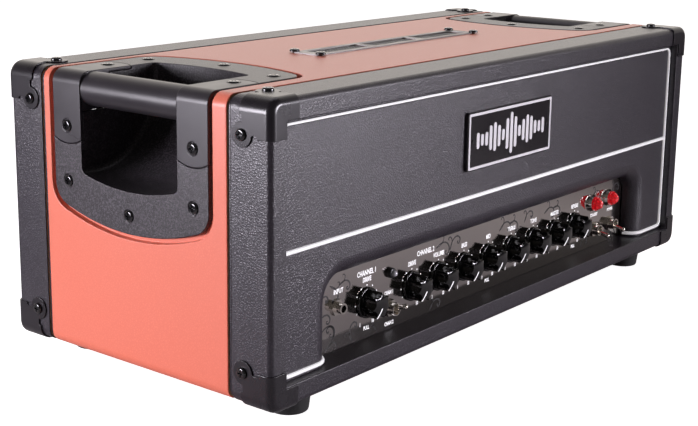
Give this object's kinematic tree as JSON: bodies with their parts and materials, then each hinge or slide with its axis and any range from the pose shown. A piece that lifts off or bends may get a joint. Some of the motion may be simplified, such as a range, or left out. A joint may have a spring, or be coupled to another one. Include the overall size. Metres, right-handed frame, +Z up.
{
  "type": "guitar amplifier head",
  "caption": "Vinyl-covered guitar amplifier head with corner grip handles, a recessed polished control panel, knobs, switches and jewel lamps.",
  "frame": {"origin": "on the surface the feet stand on, under the middle of the cabinet", "axes": "+X along the front from left to right, -Y out of the front, +Z up"},
  "size_m": [0.698, 0.308, 0.27],
  "materials": {
    "plywood": "sanded birch plywood",
    "black_vinyl": "fine-grained black vinyl covering",
    "coral_vinyl": "fine-grained coral vinyl covering",
    "baffle_vinyl": "fine-grained black vinyl over board",
    "white_piping": "smooth white piping",
    "badge_black": "gloss black enamel",
    "badge_silver": "polished silver",
    "mirror_steel": "polished steel panel",
    "zinc_steel": "zinc-plated sheet steel",
    "knob_black": "moulded black knob with a satin face",
    "black_plastic": "textured black moulding",
    "handle_plastic": "speckled black moulding",
    "bright_metal": "bright nickel plate",
    "aluminium": "satin aluminium",
    "jewel_red": "clear red faceted jewel",
    "lens_clear": "clear lamp lens",
    "black_steel": "black painted steel",
    "foot_rubber": "black rubber",
    "lamination": "black varnished laminations and end bells",
    "board_green": "green circuit board",
    "valve_glass": "clear valve glass",
    "ceramic": "cream ceramic sockets",
    "can_blue": "sleeved capacitor cans"
  },
  "bodies": {
    "root": {"badge_plate": "badge_black", "badge_screws": "black_steel", "badge_trim": "badge_silver", "baffle_lower": "baffle_vinyl", "baffle_upper": "baffle_vinyl", "base_screws": "black_steel", "cabinet_bottom_board": "plywood", "cabinet_side_left": "plywood", "cabinet_side_right": "plywood", "cabinet_top_board": "plywood", "case_screws": "black_steel", "channel_lamp_bezel": "black_plastic", "channel_lamp_lens": "lens_clear", "chassis": "zinc_steel", "choke": "lamination", "circuit_board": "board_green", "control_panel": "mirror_steel", "corner_protectors": "black_plastic", "covering_centre": "coral_vinyl", "covering_front": "black_vinyl", "covering_rear": "black_vinyl", "feet": "foot_rubber", "filter_capacitors": "can_blue", "front_piping": "white_piping", "fuse_holders": "black_plastic", "handle_dish_left": "handle_plastic", "handle_dish_right": "handle_plastic", "handle_grip_left": "handle_plastic", "handle_grip_right": "handle_plastic", "input_jack": "bright_metal", "lamp_bezels": "bright_metal", "lamp_jewels": "jewel_red", "mains_inlet": "black_plastic", "output_transformer": "lamination", "panel_nuts": "bright_metal", "pot_bodies": "aluminium", "power_transformer": "lamination", "power_valves": "valve_glass", "preamp_valves": "valve_glass", "rear_grille": "black_steel", "rear_jacks": "black_plastic", "toggle_switches": "bright_metal", "valve_sockets": "ceramic", "vent_frame": "bright_metal", "vent_mesh": "black_steel"},
    "knob_drive_1": {"knob_drive_1": "knob_black"},
    "pull_rotor_drive_1": {"pull_rotor_drive_1": "black_plastic"},
    "knob_drive_2": {"knob_drive_2": "knob_black"},
    "knob_volume": {"knob_volume": "knob_black"},
    "knob_bass": {"knob_bass": "knob_black"},
    "knob_mid": {"knob_mid": "knob_black"},
    "pull_rotor_mid": {"pull_rotor_mid": "black_plastic"},
    "knob_treble": {"knob_treble": "knob_black"},
    "knob_tone": {"knob_tone": "knob_black"},
    "knob_master": {"knob_master": "knob_black"},
    "knob_reverb": {"knob_reverb": "knob_black"},
    "pull_rotor_reverb": {"pull_rotor_reverb": "black_plastic"},
    "lever_channel": {"lever_channel": "bright_metal"},
    "lever_standby": {"lever_standby": "bright_metal"},
    "lever_power": {"lever_power": "bright_metal"}
  },
  "joints": [
    {"name": "drive_1_turn", "type": "hinge", "parent": "root", "child": "pull_rotor_drive_1", "pos_m": [-0.1938, -0.127, 0.07], "axis": [0, 1, 0], "range_deg": [0, 300]},
    {"name": "drive_1_pull", "type": "slide", "parent": "pull_rotor_drive_1", "child": "knob_drive_1", "axis": [0, -1, 0], "range_m": [0, 0.004]},
    {"name": "drive_2_turn", "type": "hinge", "parent": "root", "child": "knob_drive_2", "pos_m": [-0.1288, -0.127, 0.07], "axis": [0, 1, 0], "range_deg": [0, 300]},
    {"name": "volume_turn", "type": "hinge", "parent": "root", "child": "knob_volume", "pos_m": [-0.0875, -0.127, 0.07], "axis": [0, 1, 0], "range_deg": [0, 300]},
    {"name": "bass_turn", "type": "hinge", "parent": "root", "child": "knob_bass", "pos_m": [-0.0462, -0.127, 0.07], "axis": [0, 1, 0], "range_deg": [0, 300]},
    {"name": "mid_turn", "type": "hinge", "parent": "root", "child": "pull_rotor_mid", "pos_m": [-0.0049, -0.127, 0.07], "axis": [0, 1, 0], "range_deg": [0, 300]},
    {"name": "mid_pull", "type": "slide", "parent": "pull_rotor_mid", "child": "knob_mid", "axis": [0, -1, 0], "range_m": [0, 0.004]},
    {"name": "treble_turn", "type": "hinge", "parent": "root", "child": "knob_treble", "pos_m": [0.0364, -0.127, 0.07], "axis": [0, 1, 0], "range_deg": [0, 300]},
    {"name": "tone_turn", "type": "hinge", "parent": "root", "child": "knob_tone", "pos_m": [0.0777, -0.127, 0.07], "axis": [0, 1, 0], "range_deg": [0, 300]},
    {"name": "master_turn", "type": "hinge", "parent": "root", "child": "knob_master", "pos_m": [0.119, -0.127, 0.07], "axis": [0, 1, 0], "range_deg": [0, 300]},
    {"name": "reverb_turn", "type": "hinge", "parent": "root", "child": "pull_rotor_reverb", "pos_m": [0.1603, -0.127, 0.07], "axis": [0, 1, 0], "range_deg": [0, 300]},
    {"name": "reverb_pull", "type": "slide", "parent": "pull_rotor_reverb", "child": "knob_reverb", "axis": [0, -1, 0], "range_m": [0, 0.004]},
    {"name": "channel_flip", "type": "hinge", "parent": "root", "child": "lever_channel", "pos_m": [-0.1613, -0.128, 0.0575], "axis": [1, 0, 0], "range_deg": [0, 30]},
    {"name": "standby_flip", "type": "hinge", "parent": "root", "child": "lever_standby", "pos_m": [0.203, -0.128, 0.0575], "axis": [-1, 0, 0], "range_deg": [0, 30]},
    {"name": "power_flip", "type": "hinge", "parent": "root", "child": "lever_power", "pos_m": [0.238, -0.128, 0.0575], "axis": [-1, 0, 0], "range_deg": [0, 30]}
  ]
}
